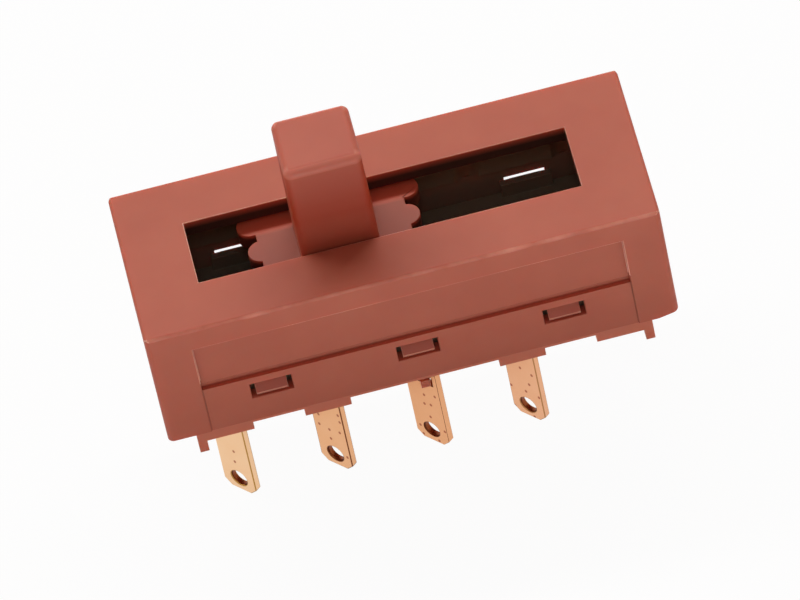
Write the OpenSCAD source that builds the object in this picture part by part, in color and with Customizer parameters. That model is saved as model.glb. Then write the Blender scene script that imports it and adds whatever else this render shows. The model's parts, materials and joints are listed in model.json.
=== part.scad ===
// Slide switch for a range hood: four detent places at an even pitch, a red-brown
// moulded case, and four solder lugs that stand at an angle below a snap-in base.
// The origin is the middle of the case's top face. X runs along the knob's travel,
// the lugs stand along the -Y side, and +Z points out through the hood's panel.

/* [Switching] */
// Distance between two detent places, and between two lug places
pitch = 8; // [7:0.25:10]
// Detent place at which the knob is drawn, counted from the -X end
drawn_place = 1; // [0:1:3]

/* [Case] */
// Width of the case across the travel
body_w = 16.6; // [15.4:0.1:21]
// Height of the case
body_h = 11.9; // [11.5:0.1:16]
// Thickness of the top wall
top_wall = 1.5; // [1:0.1:2]
// Thickness of each long side wall
side_wall = 1.2; // [1:0.05:1.5]
// Thickness of each end wall
end_wall = 1.3; // [1.2:0.1:3]
// Radius of the upright outer corners
corner_r = 0.5; // [0.2:0.1:1]
// Radius of the edges round the top face
edge_r = 0.3; // [0.1:0.05:0.4]
// Height of the plain border above the sunken side panel
border_h = 2.2; // [1.6:0.1:2.6]
// Depth of the sunken side panel
panel_depth = 0.4; // [0.2:0.05:0.5]
// Depth of the snap band below the sunken panel
band_depth = 0.12; // [0.05:0.01:0.18]
// Width of one snap window
window_l = 3.4; // [2.6:0.1:4.4]
// Height of one snap window
window_h = 1.6; // [1.4:0.05:1.8]

/* [Slider] */
// Length of the knob at its foot, along the travel
knob_l = 6.4; // [5:0.1:7.4]
// Width of the knob at its foot
knob_w = 6.3; // [5:0.1:7]
// Height of the knob above the case
knob_h = 9.2; // [6:0.1:14]
// Slope of the knob's sides, in degrees
knob_draft = 0.3; // [0:0.1:2]
// Radius of the knob's edges
knob_r = 0.6; // [0.2:0.05:1]
// Length of the slider's cover plate, without its round fingers
plate_l = 12.2; // [12:0.1:16]
// Thickness of the cover plate
plate_t = 1.5; // [1.2:0.1:1.8]
// Radius of one round finger on the plate's ends
finger_r = 1.15; // [0.8:0.05:1.3]
// Distance between two fingers
finger_pitch = 3; // [2.7:0.05:3.2]

/* [Terminals] */
// Width of the terminal strip and its lug
lug_w = 3.2; // [2.8:0.1:3.6]
// Thickness of the terminal strip
strip_t = 0.6; // [0.4:0.05:0.7]
// Height that the lugs reach below the case
lug_drop = 10.5; // [8:0.1:14]
// Angle between each lug and the travel
lug_turn = 48; // [30:1:60]
// Diameter of the wire hole in the lug
wire_hole_d = 1.6; // [1:0.1:1.8]
// Distance from the wire hole's middle to the lug's end
wire_hole_up = 1.35; // [1.2:0.05:2]

/* [Contacts and detent] */
// Diameter of a contact rivet's head
rivet_d = 2.2; // [1.8:0.1:2.4]
// Height of a contact rivet's head
rivet_h = 0.5; // [0.4:0.05:0.6]
// Outer diameter of the contact spring
spring_d = 3; // [2.4:0.1:3.1]
// Diameter of a detent ball
ball_d = 2.1; // [1.6:0.1:2.2]
// Depth of a detent notch
notch_depth = 0.4; // [0.2:0.05:0.45]

/* [Hidden] */
$fn = 64;
EPS = 0.01;              // overlap that joins two solids of one piece
CUT = 1;                 // length by which a cut runs past a surface

// Running and fitting clearances
slot_end_gap = 0.45;     // knob to the slot's end at the last place
slot_side_gap = 0.2;     // knob to the slot's side
plate_end_gap = 0.25;    // plate finger to the end wall at the last place
plate_top_gap = 0.25;    // plate to the underside of the top wall
plate_side_gap = 0.25;   // plate to the side wall
base_gap = 0.15;         // base to the case's inner walls
strip_gap = 0.05;        // strip to its slot in the base
bore_gap = 0.05;         // ball to its bore, all round
spring_gap = 0.2;        // spring to its bore, all round
lift_gap = 0.05;         // moving contact tip over the fixed contacts
rail_gap = 0.4;          // slider block to a detent rail
float_travel = 0.3;      // lift of the moving contact against its spring
float_gap = 0.45;        // lifted moving contact to the top of its slot
tip_gap = 0.2;           // moving contact's ends to the slider block
tail_gap = 0.15;         // rivet tail to the floor of its pocket
tail_side_gap = 0.2;     // rivet tail to its pocket, all round
tab_gap = 0.2;           // common rail's tab to the floor of its slot
wedge_top_gap = 0.05;    // snap wedge to the window's upper edge
wedge_foot_gap = 0.15;   // snap wedge to the window's lower edge
wedge_side_gap = 0.4;    // snap wedge to the window's sides
pin_gap = 0.1;           // locating pin to the window in the common lug
rib_gap = 0.25;          // rib to the terminal beside it

// Travel
last_place = 3;
travel = last_place * pitch;
place_x = [for (i = [0:last_place]) (i - last_place / 2) * pitch];
knob_x = place_x[drawn_place];
lug_x = [-2 * pitch, -pitch, 0, pitch];

// Slider
finger_set = 0.2;        // middle finger's centre inside the plate's end
outer_reach = 0.4;       // outer fingers beyond the middle one
plate_full_l = plate_l + 2 * (finger_r - finger_set + outer_reach);
knob_offset = 0.2;       // knob's middle from the plate's middle
block_l = 10.4;          // block that carries the contact and the balls
contact_slot_w = 2.7;
knob_bore_up = 2;        // top of the spring's bore, above the case
detent_dx = 3.4;         // detent bore, from the knob's middle line
bore_wall = 0.55;        // block below the detent bore
bridge_show = 0.2;       // block's lower face below the moving contact's strip
ball_drop = 2;           // detent bore's middle line below the plate

// Case
cavity_l = travel + plate_full_l + 2 * plate_end_gap;
body_l = cavity_l + 2 * end_wall;
cavity_w = body_w - 2 * side_wall;
slot_l = travel + knob_l + 2 * slot_end_gap;
slot_w = knob_w + 2 * slot_side_gap;
panel_low_x = 3.55 - body_l / 2;
panel_high_x = body_l / 2 - 3.35;
groove_h = 0.4;          // shadow groove at the foot of the sunken panel
groove_depth = 0.5;
groove_rise = 1.13;      // groove's upper edge above the windows
window_x = [-1.5 * pitch, 0, 1.5 * pitch];
window_foot = 2.5;       // wall below the windows
window_sill = body_h - window_foot;   // depth of the window's lower edge
window_head = window_sill - window_h; // depth of its upper edge
groove_z = -(window_head - groove_rise);
end_relief_l = 1.7;      // shallow bevel under the +X end wall
end_relief_h = 0.35;
rail_w = 0.5;            // detent rail on each long wall
rail_h = 2.4;
notch_r = 1.4;

// Heights, all measured from the top face
plate_top = -(top_wall + plate_top_gap);
plate_bottom = plate_top - plate_t;
ball_z = plate_bottom - ball_drop;
base_t = 2.7;
base_top = -(body_h - base_t);
strip_top = base_top + strip_t;
contact_z = strip_top + rivet_h;      // working face of every fixed contact
tip_h = 0.5;
bridge_t = 0.5;
bridge_z = contact_z + lift_gap + tip_h;
block_bottom = bridge_z - bridge_show;
wing_bottom = ball_z - ball_d / 2 - bore_wall;
contact_slot_top = bridge_z + bridge_t + float_travel + float_gap;

// Terminals and contacts
lug_inset = 1.9;         // lugs' middle line from the case's inner wall
lug_y = lug_inset - cavity_w / 2;
arm_half = 1.6;          // strip beside a lug's middle
contact_y = 3.2;         // contact rows, either side of the middle
lug_end = -(body_h + lug_drop);
lug_chamfer = 0.6;
arm_side = 1.4;          // strip beyond a rivet's middle
arm_inner_y = -contact_y + arm_side;
shank_d = 1.2;
tail_d = 1.8;
tail_h = 0.35;
rail_strip_w = 2.6;
rail_over = 3;           // common rail beyond the end places
rail_strip_l = travel + 2 * rail_over;
tab_w = 2;
tab_drop = 1.8;
bridge_w = 2.4;
bridge_end = 1.3;        // moving contact beyond a tip's middle
bridge_l = 2 * (contact_y + bridge_end);
bridge_r = 0.5;
tip_tail_h = 0.25;

// Base
base_l = cavity_l - 2 * base_gap;
base_w = cavity_w - 2 * base_gap;
post_w = 0.75;
post_gap = 0.4;          // corner post to the outermost lug
flange_l = 2 * (arm_half - lug_x[0] + post_gap + post_w);
flange_t = 0.4;
flange_setback = 0.3;
flange_w = body_w - 2 * flange_setback;
flange_bottom = -(body_h + flange_t);
tongue_t = 0.6;
tongue_side = 0.4;       // tongue beyond each side of its window
tongue_w = window_l + 2 * tongue_side;
wedge_w = window_l - 2 * wedge_side_gap;
wedge_out = 1.1;
wedge_lip = 0.15;
pad_h = 0.8;
pad_w = 3.8;
end_pad_w = 4.65;
pad_depth = 4.6;
pad_bottom = flange_bottom - pad_h;
post_h = 1.15;
post_depth = 1.4;
rib_w = 0.5;
rib_x = arm_half + rib_gap + rib_w / 2;
rib_over = 0.1;          // rib's height above the strips
rest_side = 0.3;         // rest at the off place, beyond a rivet's head
rest_d = rivet_d + 2 * rest_side;
pin_x = 0.07;            // locating pin through the common lug
pin_w = 0.8;
pin_h = 0.77;
pin_drop = 2.17;         // pin's upper face below the flange
pin_proud = 0.05;        // pin beyond the lug's nearest face
pin_rib_t = 0.8;         // rib that carries the pin
pin_rib_gap = 0.15;      // rib to the lug
pin_left = pin_x - pin_w / 2;
pin_rib_y = lug_y + (strip_t / 2 - pin_left * sin(lug_turn)) / cos(lug_turn) + pin_rib_gap;

// Springs
contact_wire = 0.4;
contact_turns = 9;
detent_spring_d = 1.7;
detent_wire = 0.28;
detent_turns = 15;
crest_gap = 0.05;        // ball to the crest of its rail
ball_y = cavity_w / 2 - rail_w - crest_gap - ball_d / 2;

CASE_COLOUR = "#b46a5a";
BASE_COLOUR = "#a86252";
SLIDER_COLOUR = "#b8705f";
STRIP_COLOUR = "#e9af89";
SILVER_COLOUR = "#d9d9d6";
STEEL_COLOUR = "#a9adb1";

// Box by its lowest and highest corners
module span(lo, hi) {
    translate(lo) cube([hi[0] - lo[0], hi[1] - lo[1], hi[2] - lo[2]]);
}

// Rectangle with round corners, centred
module round_rect(l, w, r) {
    square([l - 2 * r, w], center = true);
    square([l, w - 2 * r], center = true);
    for (x = [-1, 1], y = [-1, 1])
        translate([x * (l / 2 - r), y * (w / 2 - r)]) circle(r);
}

// Runs its children on both long sides
module both_sides() {
    children();
    mirror([0, 1, 0]) children();
}

// ---- Case ----

// Upright section of width w with round upper corners
module shoulder_section(w) {
    translate([-w / 2, -body_h - CUT]) square([w, body_h + CUT - edge_r]);
    translate([-w / 2 + edge_r, -body_h]) square([w - 2 * edge_r, body_h]);
    for (x = [-1, 1]) translate([x * (w / 2 - edge_r), -edge_r]) circle(edge_r);
}

// Solid block with round upright corners and a round edge round the top face
module case_block() {
    intersection() {
        translate([0, 0, -body_h]) linear_extrude(body_h) round_rect(body_l, body_w, corner_r);
        rotate([90, 0, 90]) linear_extrude(body_l + 2 * CUT, center = true) shoulder_section(body_w);
        rotate([90, 0, 0]) linear_extrude(body_w + 2 * CUT, center = true) shoulder_section(body_l);
    }
}

// Sunken panel, shadow groove, snap band and windows on the -Y side
module side_cuts() {
    face = -body_w / 2;
    span([panel_low_x, face - CUT, groove_z], [panel_high_x, face + panel_depth, -border_h]);
    span([panel_low_x, face - CUT, groove_z - groove_h],
         [panel_high_x, face + groove_depth, groove_z + EPS]);
    span([panel_low_x, face - CUT, -body_h - CUT],
         [panel_high_x, face + band_depth, groove_z - groove_h + EPS]);
    for (x = window_x)
        span([x - window_l / 2, face - CUT, -window_sill],
             [x + window_l / 2, face + side_wall + CUT, -window_head]);
}

// Rail with one notch for each place, on the -Y side
module detent_rail() {
    inner = -cavity_w / 2;
    difference() {
        span([-cavity_l / 2 - EPS, inner - EPS, ball_z - rail_h / 2],
             [cavity_l / 2 + EPS, inner + rail_w, ball_z + rail_h / 2]);
        for (x = place_x)
            translate([x + detent_dx, inner + rail_w - notch_depth + notch_r, ball_z - rail_h])
                cylinder(h = 2 * rail_h, r = notch_r);
    }
}

module housing() {
    color(CASE_COLOUR) {
        difference() {
            case_block();
            span([-cavity_l / 2, -cavity_w / 2, -body_h - CUT],
                 [cavity_l / 2, cavity_w / 2, -top_wall]);
            span([-slot_l / 2, -slot_w / 2, -top_wall - CUT], [slot_l / 2, slot_w / 2, CUT]);
            both_sides() side_cuts();
            translate([0, body_w / 2 + CUT, 0]) rotate([90, 0, 0])
                linear_extrude(body_w + 2 * CUT)
                    polygon([[body_l / 2 - end_relief_l, -body_h],
                             [body_l / 2 + CUT, -body_h + end_relief_h * (1 + CUT / end_relief_l)],
                             [body_l / 2 + CUT, -body_h - CUT],
                             [body_l / 2 - end_relief_l, -body_h - CUT]]);
        }
        both_sides() detent_rail();
    }
}

// ---- Base ----

// Upright tongue with its snap wedge, on the -Y side
module snap_tongue(x) {
    outer = base_w / 2;
    wedge_top = -(window_head + wedge_top_gap);
    wedge_bottom = -(window_sill - wedge_foot_gap);
    span([x - tongue_w / 2, -outer, base_top - EPS], [x + tongue_w / 2, -outer + tongue_t, wedge_top]);
    translate([x - wedge_w / 2, 0, 0]) rotate([90, 0, 90])
        linear_extrude(wedge_w)
            polygon([[-outer + EPS, wedge_top], [-outer, wedge_top],
                     [-outer - wedge_out, wedge_bottom + wedge_lip],
                     [-outer - wedge_out, wedge_bottom], [-outer + EPS, wedge_bottom]]);
}

// Slot for a strip of width w, turned by an angle, that passes down through the base
module strip_slot(x, y, w, turn, z0, z1) {
    l = w + 2 * strip_gap;
    t = strip_t + 2 * strip_gap;
    translate([x, y, z0]) rotate(-turn) translate([-l / 2, -t / 2, 0]) cube([l, t, z1 - z0]);
}

// Pin through the common lug, along Y, made larger all round by a gap
module locating_pin(gap = 0) {
    pin_right = pin_left + pin_w;
    lug_front = lug_y - (strip_t / 2 + pin_right * sin(lug_turn)) / cos(lug_turn);
    span([pin_left - gap, lug_front - pin_proud - gap, flange_bottom - pin_drop - pin_h - gap],
         [pin_right + gap, pin_rib_y + EPS, flange_bottom - pin_drop + gap]);
}

// Pin and the rib behind the common lug that carries it
module pin_rib() {
    locating_pin();
    span([pin_left, pin_rib_y, flange_bottom - pin_drop - pin_h],
         [pin_left + pin_w, pin_rib_y + pin_rib_t, flange_bottom + EPS]);
}

module base() {
    front = -flange_w / 2;
    color(BASE_COLOUR) {
        difference() {
            union() {
                span([-base_l / 2, -base_w / 2, -body_h - EPS], [base_l / 2, base_w / 2, base_top]);
                span([-flange_l / 2, front, flange_bottom], [flange_l / 2, -front, -body_h]);
                // pads round the lugs, and end pads with their posts
                for (x = [-pitch, pitch])
                    span([x - pad_w / 2, front, pad_bottom],
                         [x + pad_w / 2, front + pad_depth, flange_bottom + EPS]);
                both_sides()
                    for (side = [0, 1]) mirror([side, 0, 0]) {
                        span([flange_l / 2 - end_pad_w, front, pad_bottom],
                             [flange_l / 2, front + pad_depth, flange_bottom + EPS]);
                        span([flange_l / 2 - post_w, front, pad_bottom - post_h],
                             [flange_l / 2, front + post_depth, pad_bottom + EPS]);
                    }
                // ledge below the common rail
                span([-rail_strip_l / 2, contact_y - rail_strip_w / 2, base_top - EPS],
                     [rail_strip_l / 2, contact_y + rail_strip_w / 2, contact_z - strip_t]);
                // rest for the moving contact at the off place
                translate([place_x[last_place], -contact_y, base_top - EPS])
                    cylinder(h = contact_z - base_top + EPS, d = rest_d);
                both_sides() for (x = window_x) snap_tongue(x);
                // ribs between the terminals
                for (x = [-pitch - rib_x, -rib_x, rib_x])
                    span([x - rib_w / 2, lug_y, base_top - EPS],
                         [x + rib_w / 2, arm_inner_y, strip_top + rib_over]);
            }
            for (x = lug_x) strip_slot(x, lug_y, lug_w, lug_turn, pad_bottom - CUT, base_top + CUT);
            for (x = [-1, 1])
                strip_slot(x * (rail_strip_l / 2 - tab_w / 2),
                           contact_y + rail_strip_w / 2 - strip_t / 2, tab_w, 0,
                           contact_z - strip_t - tab_drop - tab_gap, base_top + CUT);
            // room for the common terminal's cross arm
            span([-arm_half - strip_gap, lug_y - strip_gap, base_top],
                 [arm_half + strip_gap, contact_y - rail_strip_w / 2 + strip_t + strip_gap,
                  contact_z]);
            // pockets for the rivets' tails
            for (i = [0:last_place - 1])
                translate([place_x[i], -contact_y, base_top - tail_h - tail_gap])
                    cylinder(h = tail_h + tail_gap + CUT, d = tail_d + 2 * tail_side_gap);
        }
        pin_rib();
    }
}

// ---- Slider ----

// Plate outline with round fingers at both ends
module plate_outline() {
    w = cavity_w - 2 * plate_side_gap;
    fingers = floor(w / 2 / finger_pitch);
    intersection() {
        union() {
            square([plate_l, w], center = true);
            for (end = [-1, 1], i = [-fingers:fingers]) {
                reach = i == 0 ? 0 : outer_reach;
                translate([end * (plate_l / 2 - finger_set + reach), i * finger_pitch]) circle(finger_r);
            }
        }
        square([2 * plate_l, w], center = true);
    }
}

// Knob with sloping sides and round edges, standing on the plate
module knob_solid() {
    foot = -plate_bottom * tan(knob_draft) - knob_r;
    top = -knob_h * tan(knob_draft) - knob_r;
    hull()
        for (x = [-1, 1], y = [-1, 1]) {
            translate([x * (knob_l / 2 + foot), y * (knob_w / 2 + foot), plate_bottom])
                cylinder(h = EPS, r = knob_r, $fn = 32);
            translate([x * (knob_l / 2 + top), y * (knob_w / 2 + top), knob_h - knob_r])
                sphere(knob_r, $fn = 32);
        }
}

module slider() {
    wing_w = cavity_w - 2 * rail_w - 2 * rail_gap;
    core_w = bridge_l + 2 * tip_gap;
    color(SLIDER_COLOUR) translate([knob_x, 0, 0])
        difference() {
            union() {
                knob_solid();
                translate([-knob_offset, 0, plate_bottom]) linear_extrude(plate_t) plate_outline();
                span([-block_l / 2, -wing_w / 2, wing_bottom],
                     [block_l / 2, wing_w / 2, plate_bottom + EPS]);
                span([-block_l / 2, -core_w / 2, block_bottom],
                     [block_l / 2, core_w / 2, wing_bottom + EPS]);
            }
            // slot that guides the moving contact
            span([-contact_slot_w / 2, -wing_w, block_bottom - CUT],
                 [contact_slot_w / 2, wing_w, contact_slot_top]);
            // bore for the contact spring
            translate([0, 0, block_bottom - CUT])
                cylinder(h = knob_bore_up - block_bottom + CUT, d = spring_d + 2 * spring_gap);
            // bore for the detent balls and their spring
            translate([detent_dx, 0, ball_z]) rotate([90, 0, 0])
                cylinder(h = wing_w + 2 * CUT, d = ball_d + 2 * bore_gap, center = true);
        }
}

// ---- Terminals ----

// Lug at x, folded down from the strip on top of the base
module lug(x) {
    h = strip_top - lug_end;
    translate([x, lug_y, lug_end]) rotate([90, 0, -lug_turn])
        difference() {
            linear_extrude(strip_t, center = true)
                polygon([[-lug_w / 2, h], [-lug_w / 2, lug_chamfer],
                         [-lug_w / 2 + lug_chamfer, 0], [lug_w / 2 - lug_chamfer, 0],
                         [lug_w / 2, lug_chamfer], [lug_w / 2, h]]);
            translate([0, wire_hole_up, 0]) cylinder(h = strip_t + 2 * CUT, d = wire_hole_d, center = true);
        }
}

// One speed's terminal: its lug and the arm over to the contact place
module speed_terminal(lug_at, contact_at) {
    color(STRIP_COLOUR) difference() {
        union() {
            lug(lug_at);
            span([min(lug_at - arm_half, contact_at - arm_side), lug_y, base_top],
                 [max(lug_at + arm_half, contact_at + arm_side), arm_inner_y, strip_top]);
        }
        translate([contact_at, -contact_y, base_top - CUT]) cylinder(h = strip_t + 2 * CUT, d = shank_d);
    }
}

module terminal_high() { speed_terminal(lug_x[0], place_x[0]); }
module terminal_medium() { speed_terminal(lug_x[1], place_x[1]); }
module terminal_low() { speed_terminal(lug_x[3], place_x[2]); }

// Common terminal: lug, cross arm, and the rail that the rear tip slides on
module terminal_common() {
    rail_front = contact_y - rail_strip_w / 2;
    rail_back = contact_y + rail_strip_w / 2;
    rail_under = contact_z - strip_t;
    color(STRIP_COLOUR) {
        difference() {
            lug(0);
            locating_pin(pin_gap);
        }
        span([-arm_half, lug_y, base_top], [arm_half, rail_front + strip_t, strip_top]);
        span([-arm_half, rail_front, base_top], [arm_half, rail_front + strip_t, contact_z]);
        span([-rail_strip_l / 2, rail_front, rail_under], [rail_strip_l / 2, rail_back, contact_z]);
        for (side = [0, 1]) mirror([side, 0, 0])
            span([rail_strip_l / 2 - tab_w, rail_back - strip_t, rail_under - tab_drop],
                 [rail_strip_l / 2, rail_back, rail_under + EPS]);
    }
}

// Rivet with a flat head above a strip and a formed tail below it
module fixed_contact(x) {
    color(SILVER_COLOUR) translate([x, -contact_y, 0]) {
        translate([0, 0, strip_top]) cylinder(h = rivet_h, d = rivet_d);
        translate([0, 0, base_top - EPS]) cylinder(h = strip_t + 2 * EPS, d = shank_d);
        translate([0, 0, base_top - tail_h]) cylinder(h = tail_h, d = tail_d);
    }
}

module fixed_contact_high() { fixed_contact(place_x[0]); }
module fixed_contact_medium() { fixed_contact(place_x[1]); }
module fixed_contact_low() { fixed_contact(place_x[2]); }

// ---- Moving contact ----

module moving_contact() {
    color(STRIP_COLOUR) translate([knob_x, 0, bridge_z])
        difference() {
            linear_extrude(bridge_t) round_rect(bridge_w, bridge_l, bridge_r);
            for (y = [-1, 1])
                translate([0, y * contact_y, -CUT]) cylinder(h = bridge_t + 2 * CUT, d = shank_d);
        }
}

// Domed contact rivet under one end of the bridge
module contact_tip(y) {
    dome_r = (pow(rivet_d / 2, 2) + pow(tip_h, 2)) / (2 * tip_h);
    color(SILVER_COLOUR) translate([knob_x, y, bridge_z]) {
        intersection() {
            translate([0, 0, dome_r - tip_h]) sphere(dome_r);
            translate([0, 0, -tip_h]) cylinder(h = tip_h, d = rivet_d);
        }
        translate([0, 0, -EPS]) cylinder(h = bridge_t + 2 * EPS, d = shank_d);
        translate([0, 0, bridge_t]) cylinder(h = tip_tail_h, d = tail_d);
    }
}

module contact_tip_front() { contact_tip(-contact_y); }
module contact_tip_rear() { contact_tip(contact_y); }

// ---- Springs and balls ----

// Share of the height climbed at turn t of n, with one closed turn at each end
function climb(t, n) = t < 1 ? 0 : t > n - 1 ? 1 : (t - 1) / (n - 2);

// Closed-end helical spring standing on z = 0
module coil(d, wire, length, turns, rings = 14, sides = 8) {
    rise = length - 3 * wire;
    count = turns * rings;
    points = [
        for (i = [0:count])
            let (t = i / rings,
                 z = wire / 2 + rise * climb(t, turns)
                     + wire * (min(t, 1) + max(0, t - turns + 1)))
            for (j = [0:sides - 1])
                let (r = d / 2 - wire / 2 + wire / 2 * cos(360 * j / sides))
                [r * cos(360 * t), r * sin(360 * t), z + wire / 2 * sin(360 * j / sides)]
    ];
    walls = [
        for (i = [0:count - 1], j = [0:sides - 1])
            let (a = i * sides, b = a + sides, k = (j + 1) % sides)
            each [[a + j, a + k, b + k], [a + j, b + k, b + j]]
    ];
    first = [for (j = [sides - 1:-1:0]) j];
    last = [for (j = [0:sides - 1]) count * sides + j];
    polyhedron(points, concat([first], walls, [last]), convexity = 10);
}

module contact_spring() {
    foot = bridge_z + bridge_t;
    color(STEEL_COLOUR) translate([knob_x, 0, foot])
        coil(spring_d, contact_wire, knob_bore_up - foot, contact_turns);
}

module detent_spring() {
    reach = ball_y - sqrt(pow(ball_d / 2, 2) - pow(detent_spring_d / 2 - detent_wire, 2));
    color(STEEL_COLOUR) translate([knob_x + detent_dx, reach, ball_z]) rotate([90, 0, 0])
        coil(detent_spring_d, detent_wire, 2 * reach, detent_turns);
}

module detent_ball(y) {
    color(STEEL_COLOUR) translate([knob_x + detent_dx, y, ball_z]) sphere(ball_d / 2);
}

module detent_ball_front() { detent_ball(-ball_y); }
module detent_ball_rear() { detent_ball(ball_y); }

housing();
base();
slider();
terminal_high();
terminal_medium();
terminal_low();
terminal_common();
fixed_contact_high();
fixed_contact_medium();
fixed_contact_low();
moving_contact();
contact_tip_front();
contact_tip_rear();
contact_spring();
detent_ball_front();
detent_ball_rear();
detent_spring();
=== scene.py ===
"""Looks of a slide switch for a range hood: red-brown moulded case, base and slider, and pale
bronze solder lugs."""

import json
import math

import bpy
from mathutils import Matrix, Vector


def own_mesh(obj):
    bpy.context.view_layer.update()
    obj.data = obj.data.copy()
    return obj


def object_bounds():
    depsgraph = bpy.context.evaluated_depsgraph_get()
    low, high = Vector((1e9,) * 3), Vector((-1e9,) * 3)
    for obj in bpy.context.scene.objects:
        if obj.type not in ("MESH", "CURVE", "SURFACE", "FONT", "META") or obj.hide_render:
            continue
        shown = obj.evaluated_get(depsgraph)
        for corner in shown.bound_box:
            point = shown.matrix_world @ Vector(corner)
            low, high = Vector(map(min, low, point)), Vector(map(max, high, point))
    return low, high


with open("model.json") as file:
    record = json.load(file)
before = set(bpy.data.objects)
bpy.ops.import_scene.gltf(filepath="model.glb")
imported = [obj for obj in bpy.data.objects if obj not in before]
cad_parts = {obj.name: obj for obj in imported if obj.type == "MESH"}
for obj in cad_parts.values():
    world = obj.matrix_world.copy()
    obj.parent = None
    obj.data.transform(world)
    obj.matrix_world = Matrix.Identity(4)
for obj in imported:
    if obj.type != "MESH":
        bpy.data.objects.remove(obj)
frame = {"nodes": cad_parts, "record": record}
nodes = frame["nodes"]
cad_low, cad_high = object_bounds()


# ---- Case ----
# The case is injection moulded in a mineral-filled PBT, pigmented red-brown. Its mould was spark
# eroded and then stoned, so the faces are satin, with soft edges and faint flow marks. Its slot
# guides the knob, and three windows in each long side hold the base.
MM = 0.001


def linear(colour):
    """An sRGB colour, as #rrggbb, in linear light with alpha."""
    parts = [int(colour[i : i + 2], 16) / 255 for i in (1, 3, 5)]
    return [p / 12.92 if p <= 0.04045 else ((p + 0.055) / 1.055) ** 2.4 for p in parts] + [1.0]


def add(tree, kind, inputs=None, **settings):
    """Adds a node: settings are its properties, and inputs its sockets.

    Each input is a value, or the other node's socket that it is linked from.
    """
    made = tree.nodes.new(kind)
    for name, value in settings.items():
        setattr(made, name, value)
    for name, value in (inputs or {}).items():
        if isinstance(value, bpy.types.NodeSocket):
            tree.links.new(value, made.inputs[name])
        else:
            made.inputs[name].default_value = value
    return made


def new_material(name):
    """An empty node material and its tree."""
    material = bpy.data.materials.new(name)
    material.use_nodes = True
    material.node_tree.nodes.clear()
    return material, material.node_tree


def finish_of(obj, material):
    """Gives every face of obj the material."""
    obj.data.materials.clear()
    obj.data.materials.append(material)


def soften(obj, radius, segments, edge=None, clamp=False):
    """Rounds obj's sharp edges, as a mould or a press does. edge is their own material, if any."""
    sharp_from = math.radians(35)
    flat_within = math.radians(1)
    weld = obj.modifiers.new("weld", "WELD")
    weld.merge_threshold = 0.001 * MM
    flatten = obj.modifiers.new("flat_faces", "DECIMATE")
    flatten.decimate_type = "DISSOLVE"
    flatten.angle_limit = flat_within
    bevel = obj.modifiers.new("soft_edges", "BEVEL")
    bevel.width = radius
    bevel.segments = segments
    bevel.limit_method = "ANGLE"
    bevel.angle_limit = sharp_from
    bevel.use_clamp_overlap = clamp
    bevel.harden_normals = True
    if edge:
        obj.data.materials.append(edge)
        bevel.material = 1


def start_pbt(name, body, flow):
    """Starts a PBT material: two close colours, in flow marks that make its faces not quite even.

    Returns the material, its tree, the place on the piece, the marks' noise and the colour.
    """
    flow_width = 7 * MM
    body_below, flow_above = 0.35, 0.65  # of the marks' noise
    material, tree = new_material(name)
    place = add(tree, "ShaderNodeTexCoord").outputs["Object"]
    marks = add(tree, "ShaderNodeTexNoise",
                {"Vector": place, "Scale": 1 / flow_width, "Detail": 3.0, "Roughness": 0.55})
    tint = add(tree, "ShaderNodeMapRange",
               {"Value": marks.outputs["Fac"], "From Min": body_below, "From Max": flow_above})
    colour = add(tree, "ShaderNodeMix",
                 {"Factor": tint.outputs["Result"], "A": linear(body), "B": linear(flow)},
                 data_type="RGBA")
    return material, tree, place, marks.outputs["Fac"], colour.outputs["Result"]


def paint_inside_shade(tree, place, colour, inside_shade):
    """Mixes a painted shade into the colour inside the case, where the slot lets in little light.

    It starts just under the slot, thickens downwards and leaves little of the plastic's red, so
    that the inside looks dark and dull.
    """
    inside_shade_from = -0.9 * MM
    inside_shade_full = -3.2 * MM
    most_inside_shade = 0.92
    # The room inside the case: axis, middle and half size in millimetres.
    bay = (("X", 0.0, 19.8), ("Y", 0.0, 7.105), ("Z", -6.725, 5.125))
    axes = add(tree, "ShaderNodeSeparateXYZ", {"Vector": place})
    share = add(tree, "ShaderNodeMapRange",
                {"Value": axes.outputs["Z"], "From Min": inside_shade_from, "From Max": inside_shade_full,
                 "To Max": most_inside_shade}).outputs["Result"]
    for axis, middle, half_size in bay:
        within = add(tree, "ShaderNodeMath",
                     {0: axes.outputs[axis], 1: middle * MM, 2: half_size * MM},
                     operation="COMPARE")
        share = add(tree, "ShaderNodeMath", {0: share, 1: within.outputs[0]},
                    operation="MULTIPLY").outputs[0]
    shaded_inside = add(tree, "ShaderNodeMix", {"Factor": share, "A": colour, "B": linear(inside_shade)},
                 data_type="RGBA")
    return shaded_inside.outputs["Result"]


def satin_skin(tree, place, colour, roughness):
    """Ends a PBT material: a satin skin that lets a little red light through at thin edges.

    The eroded grain of such a mould is near 0.04 mm, and is drawn at 0.12 mm so that it shows.
    """
    grain_width = 0.12 * MM
    grain_height = 0.01 * MM
    spread = 0.05
    grain = add(tree, "ShaderNodeTexNoise",
                {"Vector": place, "Scale": 1 / grain_width, "Detail": 2.0})
    rough = add(tree, "ShaderNodeMapRange",
                {"Value": grain.outputs["Fac"], "To Min": roughness - spread,
                 "To Max": roughness + spread})
    bump = add(tree, "ShaderNodeBump",
               {"Height": grain.outputs["Fac"], "Strength": 0.25, "Distance": grain_height})
    skin = add(tree, "ShaderNodeBsdfPrincipled",
               {"Base Color": colour, "Roughness": rough.outputs["Result"], "IOR": 1.57,
                "Specular IOR Level": 0.22, "Subsurface Weight": 0.4,
                "Subsurface Radius": (1.8, 0.25, 0.12), "Subsurface Scale": 1.5 * MM,
                "Normal": bump.outputs["Normal"]})
    add(tree, "ShaderNodeOutputMaterial", {"Surface": skin.outputs["BSDF"]})


# The dull grey painted as shade inside the case and the base.
inside_shade_grey = "#827a68"


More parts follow.
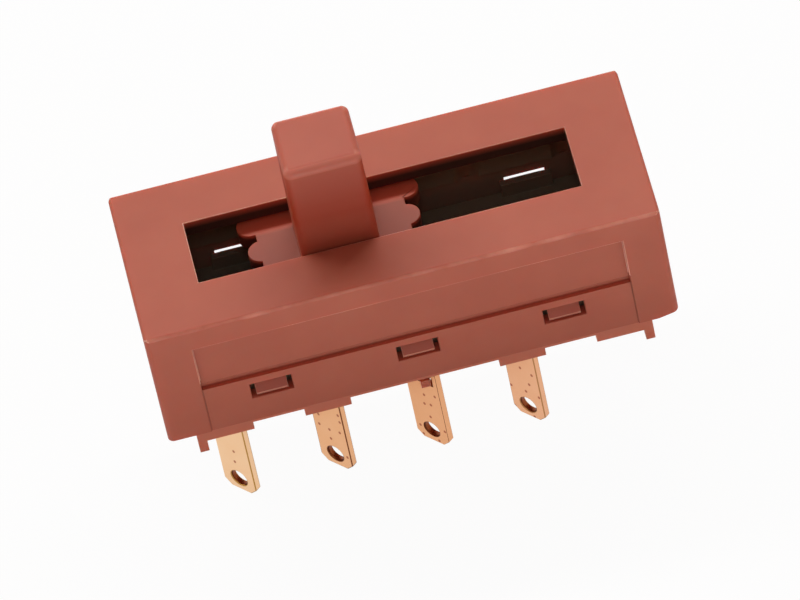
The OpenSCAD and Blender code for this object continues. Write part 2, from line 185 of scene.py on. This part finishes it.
def case_pbt(name, body, flow, roughness, low_edge_colour=None):
    """The case's PBT: satin red-brown, with painted shade in the slot and a painted highlight
    along its long top edges.

    The last colour, if given, is a darker one for rounded edges from the shadow groove down, which
    take no painted highlight.
    """
    material, tree, place, marks, colour = start_pbt(name, body, flow)
    axes = add(tree, "ShaderNodeSeparateXYZ", {"Vector": place})
    height = axes.outputs["Z"]
    if low_edge_colour:
        groove_top = -6.2 * MM
        low = add(tree, "ShaderNodeMath", {0: height, 1: groove_top}, operation="LESS_THAN")
        colour = add(tree, "ShaderNodeMix",
                     {"Factor": low.outputs[0], "A": colour, "B": linear(low_edge_colour)},
                     data_type="RGBA").outputs["Result"]
    # Painted shade inside the case.
    colour = paint_inside_shade(tree, place, colour, inside_shade_grey)

    # Painted shade on the slot's walls, darkening downwards from the rim. The half sizes, in
    # millimetres, take in the slot's soft edge.
    slot_wall_shade = "#22150f"
    slot_shade_from = -0.05 * MM
    slot_shade_full = -0.75 * MM
    most_slot_shade = 0.92
    share = add(tree, "ShaderNodeMapRange",
                {"Value": height, "From Min": slot_shade_from, "From Max": slot_shade_full,
                 "To Max": most_slot_shade}).outputs["Result"]
    for axis, half_slot in (("X", 15.75), ("Y", 3.45)):
        within = add(tree, "ShaderNodeMath",
                     {0: axes.outputs[axis], 1: 0.0, 2: half_slot * MM}, operation="COMPARE")
        share = add(tree, "ShaderNodeMath", {0: share, 1: within.outputs[0]},
                    operation="MULTIPLY").outputs[0]
    colour = add(tree, "ShaderNodeMix", {"Factor": share, "A": colour, "B": linear(slot_wall_shade)},
                 data_type="RGBA").outputs["Result"]

    # A ragged painted highlight along the long top edges, in patches. Width plus height is 8.3 mm
    # at the very edge, and less on both faces beside it.
    top_edge_highlight = "#e8aa96"
    highlight_from = 8.05 * MM
    highlight_full = 8.17 * MM
    wobble_width = 2.3 * MM
    wobble_depth = 0.08 * MM
    top_only = -0.5 * MM
    patch_below, patch_above = 0.4, 0.55  # of the flow marks' noise
    faint, strong = 0.45, 1.0
    width = add(tree, "ShaderNodeMath", {0: axes.outputs["Y"]}, operation="ABSOLUTE")
    corner = add(tree, "ShaderNodeMath", {0: width.outputs[0], 1: height}, operation="ADD")
    wobble = add(tree, "ShaderNodeTexNoise",
                {"Vector": place, "Scale": 1 / wobble_width, "Detail": 5.0})
    ragged = add(tree, "ShaderNodeMapRange",
                 {"Value": wobble.outputs["Fac"], "To Min": -wobble_depth, "To Max": wobble_depth})
    corner = add(tree, "ShaderNodeMath", {0: corner.outputs[0], 1: ragged.outputs["Result"]},
                 operation="ADD")
    highlight_share = add(tree, "ShaderNodeMapRange",
                {"Value": corner.outputs[0], "From Min": highlight_from, "From Max": highlight_full})
    above = add(tree, "ShaderNodeMath", {0: height, 1: top_only}, operation="GREATER_THAN")
    highlight_share = add(tree, "ShaderNodeMath", {0: highlight_share.outputs["Result"], 1: above.outputs[0]},
                operation="MULTIPLY")
    patch = add(tree, "ShaderNodeMapRange",
                {"Value": marks, "From Min": patch_below, "From Max": patch_above,
                 "To Min": faint, "To Max": strong})
    highlight_share = add(tree, "ShaderNodeMath", {0: highlight_share.outputs[0], 1: patch.outputs["Result"]},
                operation="MULTIPLY")
    colour = add(tree, "ShaderNodeMix",
                 {"Factor": highlight_share.outputs[0], "A": colour, "B": linear(top_edge_highlight)},
                 data_type="RGBA").outputs["Result"]
    satin_skin(tree, place, colour, roughness)
    return material


case_edge_radius = 0.07 * MM
finish_of(nodes["housing"], case_pbt("case_pbt", "#b25f4a", "#b7644e", 0.58))
# The rounded edges take a paler copy of the case's PBT: a painted highlight along every edge,
# darker from the shadow groove down.
soften(nodes["housing"], case_edge_radius, 3,
       edge=case_pbt("edge_highlight_case_pbt", "#bf7462", "#eab29e", 0.5, low_edge_colour="#a6543f"))


# ---- Base ----
# The base is moulded in the same filled PBT, coloured darker and greyer above the case's foot as
# painted shade on the wedges in the case's windows. It snaps in from below, its wedges fill the
# case's windows, and the lugs pass through its slots.
def base_pbt(name, body, flow, roughness, below_foot_colour):
    """The base's PBT: satin, darker above the case's foot as painted shade on the wedges, and
    paler in the pads and posts that show below the case.
    """
    case_foot = -11.6 * MM
    material, tree, place, _, colour = start_pbt(name, body, flow)
    # Painted shade inside the case.
    colour = paint_inside_shade(tree, place, colour, inside_shade_grey)
    axes = add(tree, "ShaderNodeSeparateXYZ", {"Vector": place})
    below = add(tree, "ShaderNodeMath", {0: axes.outputs["Z"], 1: case_foot},
                operation="LESS_THAN")
    colour = add(tree, "ShaderNodeMix",
                 {"Factor": below.outputs[0], "A": colour, "B": linear(below_foot_colour)},
                 data_type="RGBA").outputs["Result"]
    satin_skin(tree, place, colour, roughness)
    return material


base_edge_radius = 0.04 * MM
finish_of(nodes["base"], base_pbt("base_pbt", "#ae5d4c", "#b46352", 0.58, "#c8765e"))
# The rounded edges take a paler copy of the base's PBT: a painted highlight.
soften(nodes["base"], base_edge_radius, 2,
       edge=base_pbt("edge_highlight_base_pbt", "#bc7460", "#dc9c84", 0.5, "#d48e78"))


# ---- Slider ----
# Knob, cover plate and block are one moulding of the same PBT. It rides under the case's top,
# and its spring-loaded balls hold it at each speed. Painted shade darkens the knob's flanks.
def slider_pbt_painted(name, body, flow, roughness):
    """The slider's PBT: smoother than the case, with painted shade on the knob's flanks and a
    painted highlight on its rims.

    The plate's outer strips get a livelier red, a painted glow of red light bounced into their
    shade.
    """
    plate_shade_brown = "#421f18"
    material, tree, place, _, colour = start_pbt(name, body, flow)
    # Painted shade inside the case, over the plate and the block.
    colour = paint_inside_shade(tree, place, colour, plate_shade_brown)
    axes = add(tree, "ShaderNodeSeparateXYZ", {"Vector": place})
    height = axes.outputs["Z"]
    width = add(tree, "ShaderNodeMath", {0: axes.outputs["Y"]}, operation="ABSOLUTE").outputs[0]

    # A painted glow of red bounced light on the plate's strips, to both sides of the middle that
    # the slot leaves open, where they lie in the slot's shade.
    bounce_red = "#d4634a"
    above_plate = -1.0 * MM
    bounce_from = 1.6 * MM
    bounce_full = 2.2 * MM
    strip = add(tree, "ShaderNodeMapRange",
                {"Value": width, "From Min": bounce_from, "From Max": bounce_full,
                 "To Max": 0.9})
    plate = add(tree, "ShaderNodeMath", {0: height, 1: above_plate}, operation="LESS_THAN")
    strip = add(tree, "ShaderNodeMath", {0: strip.outputs["Result"], 1: plate.outputs[0]},
                operation="MULTIPLY")
    colour = add(tree, "ShaderNodeMix",
                 {"Factor": strip.outputs[0], "A": colour, "B": linear(bounce_red)},
                 data_type="RGBA").outputs["Result"]

    # Painted shade on the plate's side walls and the block below.
    side_wall_shade = "#3a100c"
    side_shade_from = -1.87 * MM
    side_shade_full = -2.20 * MM
    side_shade = add(tree, "ShaderNodeMapRange",
                 {"Value": height, "From Min": side_shade_from, "From Max": side_shade_full,
                  "To Max": 0.8})
    colour = add(tree, "ShaderNodeMix",
                 {"Factor": side_shade.outputs["Result"], "A": colour, "B": linear(side_wall_shade)},
                 data_type="RGBA").outputs["Result"]

    # Painted shade on the knob's flanks, darkest in the middle of their height.
    flank_shade = "#96300f"
    rim_foot = 8.4 * MM
    darkest_below = 4.8 * MM
    darkest_above = 3.5 * MM
    flank_foot = -0.5 * MM
    upper = add(tree, "ShaderNodeMapRange",
                {"Value": height, "From Min": rim_foot, "From Max": darkest_below,
                 "To Min": 0.5, "To Max": 0.92})
    lower = add(tree, "ShaderNodeMapRange",
                {"Value": height, "From Min": flank_foot, "From Max": darkest_above})
    flank = add(tree, "ShaderNodeMath",
                {0: upper.outputs["Result"], 1: lower.outputs["Result"]}, operation="MULTIPLY")
    below = add(tree, "ShaderNodeMath", {0: height, 1: rim_foot}, operation="LESS_THAN")
    flank = add(tree, "ShaderNodeMath", {0: flank.outputs[0], 1: below.outputs[0]},
                operation="MULTIPLY")
    colour = add(tree, "ShaderNodeMix",
                 {"Factor": flank.outputs[0], "A": colour, "B": linear(flank_shade)},
                 data_type="RGBA").outputs["Result"]

    # A painted highlight on the rims between the knob's top and its two sides along the slot.
    rim_highlight = "#d28876"
    rim_from, rim_full = 8.45 * MM, 9.05 * MM
    top_edge, knob_top = 9.15 * MM, 9.195 * MM
    side_from, side_full = 2.1 * MM, 2.6 * MM
    rise = add(tree, "ShaderNodeMapRange",
               {"Value": height, "From Min": rim_from, "From Max": rim_full})
    fall = add(tree, "ShaderNodeMapRange",
               {"Value": height, "From Min": knob_top, "From Max": top_edge, "To Max": 0.7})
    rim = add(tree, "ShaderNodeMath", {0: rise.outputs["Result"], 1: fall.outputs["Result"]},
              operation="MULTIPLY")
    side = add(tree, "ShaderNodeMapRange",
               {"Value": width, "From Min": side_from, "From Max": side_full})
    rim = add(tree, "ShaderNodeMath", {0: rim.outputs[0], 1: side.outputs["Result"]},
              operation="MULTIPLY")
    colour = add(tree, "ShaderNodeMix",
                 {"Factor": rim.outputs[0], "A": colour, "B": linear(rim_highlight)},
                 data_type="RGBA").outputs["Result"]
    satin_skin(tree, place, colour, roughness)
    return material


slider_edge_radius = 0.06 * MM
finish_of(nodes["slider"], slider_pbt_painted("slider_pbt", "#b35c47", "#b8614b", 0.52))
soften(nodes["slider"], slider_edge_radius, 2, clamp=True)


# ---- Terminals ----
# The four terminals are stamped from rolled phosphor bronze strip, pale as new copper. Each lug
# is folded down and passes slanting through a slot in the base. Its rounded corners carry a
# painted dark line, and the four lugs' tones differ as painted light and shade.
def rolled_bronze(name, metal, worn, hole=None, bare_share=0.45):
    """Rolled phosphor bronze: satin metal with lines along the strip and a few brown pits.

    hole is the middle of the wire hole, whose wall is coloured darker. bare_share is the share
    of the pits' cells that stay bare. Rolling lines are near 0.02 mm wide, and are drawn at
    0.06 mm so that they show.
    """
    line_width = 0.06 * MM
    line_length = 2.5 * MM
    cloud_width = 2 * MM
    pit_cell_across = 1.05 * MM
    pit_cell_along = 1.35 * MM
    pit_core, pit_rim = 0.09, 0.14  # radii, as a share of the cell
    pit_strength = 0.85
    pit_brown = "#98411c"
    lug_turn = math.radians(48)
    square_on = 0.9
    material, tree = new_material(name)
    source = add(tree, "ShaderNodeTexCoord")
    place = source.outputs["Object"]
    turned = add(tree, "ShaderNodeVectorRotate", {"Vector": place, "Angle": lug_turn},
                 rotation_type="Z_AXIS")
    stretched = add(tree, "ShaderNodeMapping",
                    {"Vector": turned.outputs["Vector"],
                     "Scale": (1 / line_width, 1 / line_width, 1 / line_length)})
    lines = add(tree, "ShaderNodeTexNoise",
                {"Vector": stretched.outputs["Vector"], "Scale": 1.0, "Detail": 3.0})
    cloud = add(tree, "ShaderNodeTexNoise",
                {"Vector": place, "Scale": 1 / cloud_width, "Detail": 3.0})
    colour = add(tree, "ShaderNodeMix",
                 {"Factor": cloud.outputs["Fac"], "A": linear(metal), "B": linear(worn)},
                 data_type="RGBA")

    # Pits, one at most in each cell, on the lug's two broad faces only.
    axes = add(tree, "ShaderNodeSeparateXYZ", {"Vector": turned.outputs["Vector"]})
    across = add(tree, "ShaderNodeMath", {0: axes.outputs["X"], 1: pit_cell_across},
                 operation="DIVIDE")
    along = add(tree, "ShaderNodeMath", {0: axes.outputs["Z"], 1: pit_cell_along},
                operation="DIVIDE")
    face = add(tree, "ShaderNodeCombineXYZ", {"X": across.outputs[0], "Y": along.outputs[0]})
    cells = add(tree, "ShaderNodeTexVoronoi",
                {"Vector": face.outputs["Vector"], "Scale": 1.0, "Randomness": 0.9},
                voronoi_dimensions="2D")
    pit = add(tree, "ShaderNodeMapRange",
              {"Value": cells.outputs["Distance"], "From Min": pit_core, "From Max": pit_rim,
               "To Min": pit_strength, "To Max": 0.0})
    there = add(tree, "ShaderNodeMath", {0: cells.outputs["Color"], 1: bare_share},
                operation="GREATER_THAN")
    pit = add(tree, "ShaderNodeMath", {0: pit.outputs["Result"], 1: there.outputs[0]},
              operation="MULTIPLY")
    facing = add(tree, "ShaderNodeVectorRotate",
                 {"Vector": source.outputs["Normal"], "Angle": lug_turn},
                 rotation_type="Z_AXIS")
    facing = add(tree, "ShaderNodeSeparateXYZ", {"Vector": facing.outputs["Vector"]})
    facing = add(tree, "ShaderNodeMath", {0: facing.outputs["Y"]}, operation="ABSOLUTE")
    facing = add(tree, "ShaderNodeMath", {0: facing.outputs[0], 1: square_on},
                 operation="GREATER_THAN")
    pit = add(tree, "ShaderNodeMath", {0: pit.outputs[0], 1: facing.outputs[0]},
              operation="MULTIPLY")
    colour = add(tree, "ShaderNodeMix",
                 {"Factor": pit.outputs[0], "A": colour.outputs["Result"],
                  "B": linear(pit_brown)}, data_type="RGBA")

    if hole:
        wall_radius = 0.84 * MM
        darker_wall = "#8c4a2a"
        centre = Matrix.Rotation(lug_turn, 3, "Z") @ Vector(hole)
        aside = add(tree, "ShaderNodeMath", {0: axes.outputs["X"], 1: centre.x},
                    operation="SUBTRACT")
        above = add(tree, "ShaderNodeMath", {0: axes.outputs["Z"], 1: centre.z},
                    operation="SUBTRACT")
        from_axis = add(tree, "ShaderNodeCombineXYZ",
                        {"X": aside.outputs[0], "Y": above.outputs[0]})
        radius = add(tree, "ShaderNodeVectorMath", {0: from_axis.outputs["Vector"]},
                     operation="LENGTH")
        wall = add(tree, "ShaderNodeMath", {0: radius.outputs["Value"], 1: wall_radius},
                   operation="LESS_THAN")
        colour = add(tree, "ShaderNodeMix",
                     {"Factor": wall.outputs[0], "A": colour.outputs["Result"],
                      "B": linear(darker_wall)}, data_type="RGBA")

    rough = add(tree, "ShaderNodeMapRange",
                {"Value": lines.outputs["Fac"], "To Min": 0.3, "To Max": 0.42})
    bump = add(tree, "ShaderNodeBump",
               {"Height": lines.outputs["Fac"], "Strength": 0.2, "Distance": 0.004 * MM})
    skin = add(tree, "ShaderNodeBsdfPrincipled",
               {"Base Color": colour.outputs["Result"], "Metallic": 1.0,
                "Roughness": rough.outputs["Result"], "Normal": bump.outputs["Normal"]})
    add(tree, "ShaderNodeOutputMaterial", {"Surface": skin.outputs["BSDF"]})
    return material


holes = {mount["name"]: mount["pos_m"] for mount in frame["record"]["mounts"]}
# Each lug's metal and worn metal, whose tones differ from lug to lug as painted light, the
# painted dark line on its rounded corners, the share of cells without a pit, and its edge
# radius, which is smaller on the common lug because its window has narrow bars.
lugs = {"high": ("#eebf90", "#f2c99e", "#b2823f", 0.8, 0.08 * MM),
        "medium": ("#e6aa77", "#ebb486", "#7a4424", 0.45, 0.08 * MM),
        "low": ("#e5a77a", "#eab087", "#b07b4c", 0.45, 0.08 * MM),
        "common": ("#e2a16e", "#e7aa7b", "#7a4424", 0.45, 0.03 * MM)}
for speed, (metal, worn, corner_line_colour, bare_share, lug_edge_radius) in lugs.items():
    terminal = nodes["terminal_" + speed]
    finish_of(terminal, rolled_bronze("rolled_bronze_" + speed, metal, worn,
                                      holes["wire_hole_" + speed], bare_share))
    # The rounded corners take a painted dark line.
    soften(terminal, lug_edge_radius, 2,
           edge=rolled_bronze("dark_corner_bronze_" + speed, corner_line_colour, corner_line_colour, bare_share=0.5))


# ---- Contacts ----
# Silver alloy rivets are headed into the speed terminals, and two domed ones into the ends of
# the bridge, a stamped bronze strip that the slider carries and a spring presses down.
def tarnished_silver(name):
    """Headed silver alloy: bright and pale, dulled in small clouds of grey-yellow tarnish."""
    tarnish_width = 0.7 * MM
    material, tree = new_material(name)
    place = add(tree, "ShaderNodeTexCoord").outputs["Object"]
    tarnish = add(tree, "ShaderNodeTexNoise",
                  {"Vector": place, "Scale": 1 / tarnish_width, "Detail": 4.0})
    colour = add(tree, "ShaderNodeMix",
                 {"Factor": tarnish.outputs["Fac"], "A": linear("#e2e0da"),
                  "B": linear("#c9c3b6")}, data_type="RGBA")
    rough = add(tree, "ShaderNodeMapRange",
                {"Value": tarnish.outputs["Fac"], "To Min": 0.2, "To Max": 0.4})
    skin = add(tree, "ShaderNodeBsdfPrincipled",
               {"Base Color": colour.outputs["Result"], "Metallic": 1.0,
                "Roughness": rough.outputs["Result"]})
    add(tree, "ShaderNodeOutputMaterial", {"Surface": skin.outputs["BSDF"]})
    return material


bridge_edge_radius = 0.05 * MM
silver = tarnished_silver("silver_alloy")
for rivet in ("fixed_contact_high", "fixed_contact_medium", "fixed_contact_low",
              "contact_tip_front", "contact_tip_rear"):
    finish_of(nodes[rivet], silver)
finish_of(nodes["moving_contact"],
          rolled_bronze("rolled_bronze_bridge", "#e2a67b", "#e8b088", bare_share=0.5))
soften(nodes["moving_contact"], bridge_edge_radius, 2)


# ---- Springs and balls ----
# Both springs are coiled from drawn steel wire. One stands in the knob's bore over the bridge,
# and the other lies across the block and pushes two ground balls into the rails' notches.
def bright_steel(name, shade, roughness):
    """Bright steel: a clear grey shine, hazed a little in spots by oil."""
    haze_width = 0.5 * MM
    material, tree = new_material(name)
    place = add(tree, "ShaderNodeTexCoord").outputs["Object"]
    haze = add(tree, "ShaderNodeTexNoise",
               {"Vector": place, "Scale": 1 / haze_width, "Detail": 3.0})
    rough = add(tree, "ShaderNodeMapRange",
                {"Value": haze.outputs["Fac"], "To Min": roughness - 0.05,
                 "To Max": roughness + 0.08})
    skin = add(tree, "ShaderNodeBsdfPrincipled",
               {"Base Color": linear(shade), "Metallic": 1.0,
                "Roughness": rough.outputs["Result"]})
    add(tree, "ShaderNodeOutputMaterial", {"Surface": skin.outputs["BSDF"]})
    return material


drawn_wire = bright_steel("spring_steel", "#a4a8ad", 0.3)
ground_steel = bright_steel("ball_steel", "#c0c3c8", 0.12)
for spring in ("contact_spring", "detent_spring"):
    finish_of(nodes[spring], drawn_wire)
for ball in ("detent_ball_front", "detent_ball_rear"):
    finish_of(nodes[ball], ground_steel)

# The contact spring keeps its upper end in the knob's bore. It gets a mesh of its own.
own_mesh(nodes["contact_spring"])


# ---- Floor, light and camera ----
# The switch stands on its lugs' ends on white paper, in a plain white studio. A long softbox
# behind and above lights its top, and a card in front lights its near side.
scene = bpy.context.scene
scene.view_settings.view_transform = "Standard"


def seen_plainly(tree):
    """A mask that is 1 for what the camera sees straight, in a reflection or through glass."""
    rays = add(tree, "ShaderNodeLightPath")
    seen = add(tree, "ShaderNodeMath",
               {0: rays.outputs["Is Camera Ray"], 1: rays.outputs["Is Glossy Ray"]},
               operation="MAXIMUM")
    seen = add(tree, "ShaderNodeMath",
               {0: seen.outputs[0], 1: rays.outputs["Is Transmission Ray"]}, operation="MAXIMUM")
    return seen.outputs[0]


half_floor = 0.6
floor_z = cad_low.z - 0.02 * MM
floor_mesh = bpy.data.meshes.new("floor")
floor_mesh.from_pydata([(x * half_floor, y * half_floor, floor_z)
                        for x, y in ((-1, -1), (1, -1), (1, 1), (-1, 1))], [], [(0, 1, 2, 3)])
floor = bpy.data.objects.new("floor", floor_mesh)
scene.collection.objects.link(floor)

# White paper: a matt sheet that shows almost pure white, with a faint shadow left on it.
white_share = 0.96
paper, tree = new_material("white_paper")
share = add(tree, "ShaderNodeMath", {0: seen_plainly(tree), 1: white_share},
            operation="MULTIPLY")
sheet = add(tree, "ShaderNodeBsdfDiffuse", {"Color": (0.75, 0.75, 0.75, 1.0)})
glow = add(tree, "ShaderNodeEmission", {"Color": (1.0, 1.0, 1.0, 1.0), "Strength": 1.0})
both = add(tree, "ShaderNodeMixShader",
           {"Fac": share.outputs[0], 1: sheet.outputs["BSDF"], 2: glow.outputs["Emission"]})
add(tree, "ShaderNodeOutputMaterial", {"Surface": both.outputs["Shader"]})
floor_mesh.materials.append(paper)

# The room's own light is dim and warm, and what is seen of the room is white.
world = bpy.data.worlds.new("studio")
world.use_nodes = True
scene.world = world
tree = world.node_tree
tree.nodes.clear()
room = add(tree, "ShaderNodeBackground", {"Color": linear("#fcccb8"), "Strength": 0.25})
white = add(tree, "ShaderNodeBackground", {"Color": (1.0, 1.0, 1.0, 1.0), "Strength": 1.0})
both = add(tree, "ShaderNodeMixShader",
           {"Fac": seen_plainly(tree), 1: room.outputs["Background"],
            2: white.outputs["Background"]})
add(tree, "ShaderNodeOutputWorld", {"Surface": both.outputs["Shader"]})


def softbox(name, place, aim, size, watts, colour="#ffffff"):
    """A rectangular area lamp at place, facing aim, of a size in metres."""
    lamp = bpy.data.lights.new(name, "AREA")
    lamp.shape = "RECTANGLE"
    lamp.size, lamp.size_y = size
    lamp.energy = watts
    lamp.color = linear(colour)[:3]
    obj = bpy.data.objects.new(name, lamp)
    obj.location = place
    obj.rotation_mode = "QUATERNION"
    obj.rotation_quaternion = (Vector(aim) - Vector(place)).to_track_quat("-Z", "Y")
    scene.collection.objects.link(obj)


softbox("key", place=(-0.02, 0.34, 0.468), aim=(0, 0, 0), size=(1.1, 0.08), watts=3.8)
softbox("card", place=(0, -0.163, -0.021), aim=(0, -0.163, 0.1), size=(0.3, 0.26), watts=0.39,
        colour="#eefaff")
softbox("glint", place=(-0.02, -0.58, 0.76), aim=(0, 0, 0), size=(0.12, 0.12), watts=0.36)

camera = bpy.data.cameras.new("camera")
camera.sensor_width = 36.0
camera.lens = 495.0
camera.clip_start = 0.1
camera.clip_end = 5.0
eye_place = Vector((-23.008, -606.884, 628.095)) * MM
right = Vector((0.9691, -0.1952, -0.1508))
up = Vector((0.2453, 0.6987, 0.6720))
forward = Vector((0.0258, 0.6883, -0.7250))
turn = Matrix((right, up, -forward)).transposed().to_4x4()
eye = bpy.data.objects.new("camera", camera)
eye.matrix_world = Matrix.Translation(eye_place) @ turn
scene.collection.objects.link(eye)
scene.camera = eye
